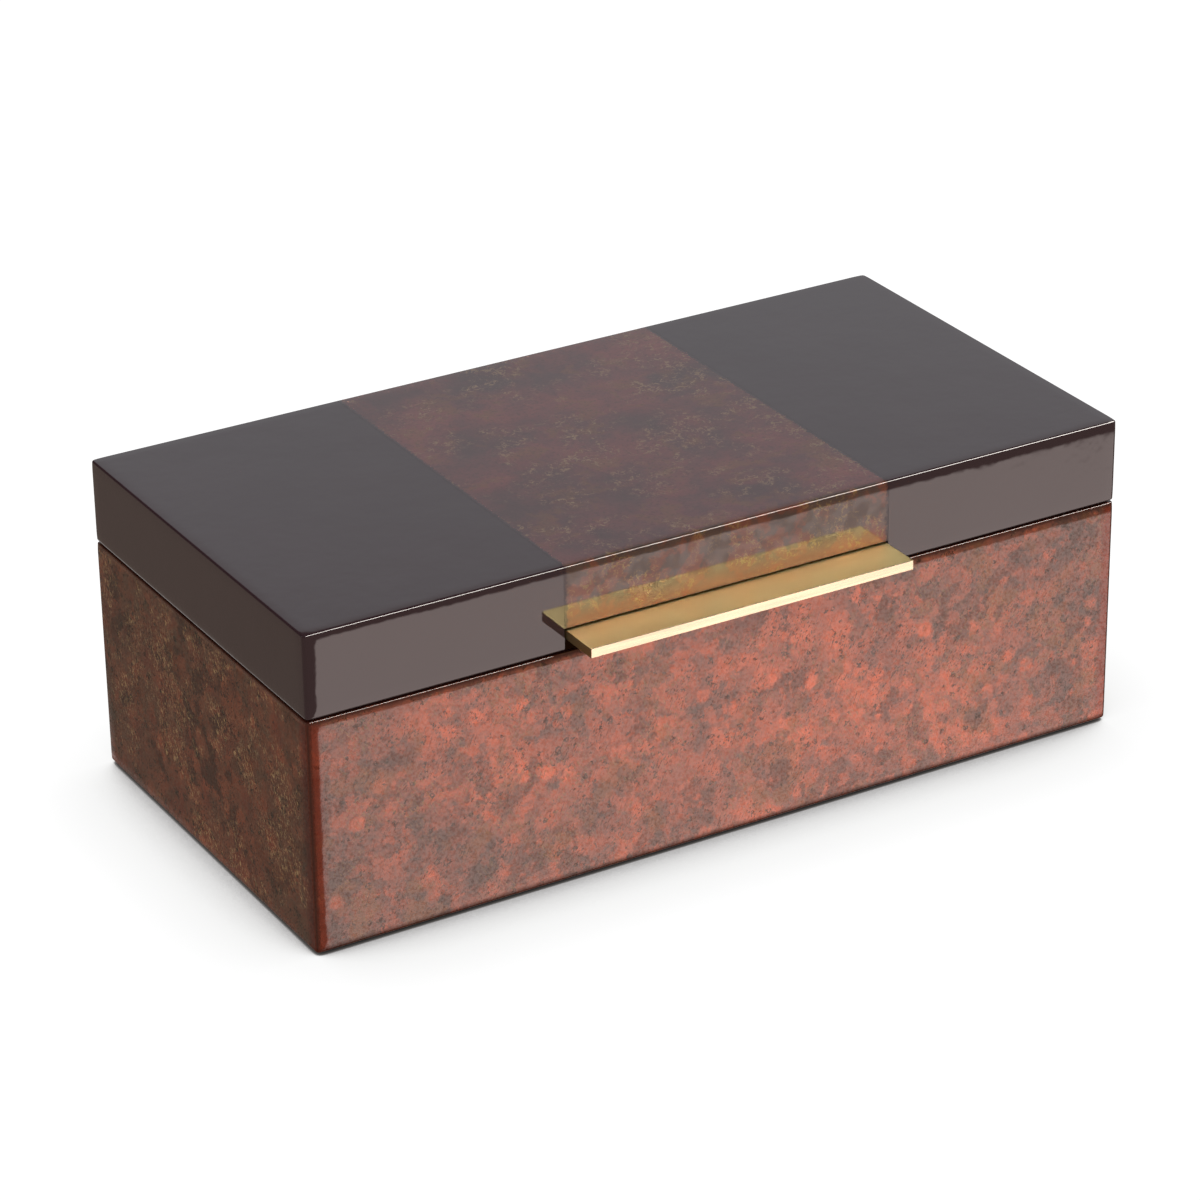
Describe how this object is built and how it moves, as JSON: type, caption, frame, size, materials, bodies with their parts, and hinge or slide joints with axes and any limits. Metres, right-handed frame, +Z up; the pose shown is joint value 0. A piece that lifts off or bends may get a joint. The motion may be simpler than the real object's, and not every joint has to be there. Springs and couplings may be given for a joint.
{
  "type": "hinged lacquered box",
  "caption": "Rectangular lacquered wooden box with a hinged lid, a flush inlaid band across the lid and a flat brass bar pull on the front.",
  "frame": {"origin": "on the table, under the middle of the case's outside; the bar pull and the hinge barrels reach past the case in Y, so the bounding box is not centred on it", "axes": "+X along the front to the right, +Y from the front to the hinged back, +Z up"},
  "size_m": [0.3, 0.173, 0.111],
  "materials": {
    "mottled_lacquer": "high-gloss mottled red-brown lacquer over wood",
    "dark_lacquer": "high-gloss dark aubergine-brown lacquer over wood",
    "band_lacquer": "inlaid veneer under clear gloss lacquer, maroon-brown with gold flecks",
    "bare_wood": "planed, unfinished",
    "brass": "polished, clear lacquered",
    "velvet": "short-pile velvet over board",
    "felt": "pressed wool felt"
  },
  "bodies": {
    "case": {"case_front_wall": "mottled_lacquer", "case_back_wall": "mottled_lacquer", "case_left_wall": "mottled_lacquer", "case_right_wall": "mottled_lacquer", "case_floor_panel": "bare_wood", "case_corner_tongues": "bare_wood", "base_felt": "felt", "floor_pad": "velvet", "case_front_lining": "velvet", "case_back_lining": "velvet", "case_left_lining": "velvet", "case_right_lining": "velvet", "rim_bumpers": "felt", "left_hinge_case_leaf": "brass", "right_hinge_case_leaf": "brass", "left_hinge_pin": "brass", "right_hinge_pin": "brass", "hinge_case_screws": "brass"},
    "lid": {"lid_top_panel": "dark_lacquer", "lid_front_rail": "dark_lacquer", "lid_back_rail": "dark_lacquer", "lid_left_rail": "dark_lacquer", "lid_right_rail": "dark_lacquer", "lid_corner_tongues": "bare_wood", "inlay_top": "band_lacquer", "inlay_front": "band_lacquer", "inlay_back": "band_lacquer", "pull_plate": "brass", "pull_screws": "brass", "lid_pad": "velvet", "lid_front_lining": "velvet", "lid_back_lining": "velvet", "lid_left_lining": "velvet", "lid_right_lining": "velvet", "left_hinge_lid_leaf": "brass", "right_hinge_lid_leaf": "brass", "hinge_lid_screws": "brass"}
  },
  "joints": [
    {"name": "lid_hinge", "type": "hinge", "parent": "case", "child": "lid", "pos_m": [0, 0.0782, 0.0819], "axis": [-1, 0, 0], "range_deg": [0, 95]}
  ]
}
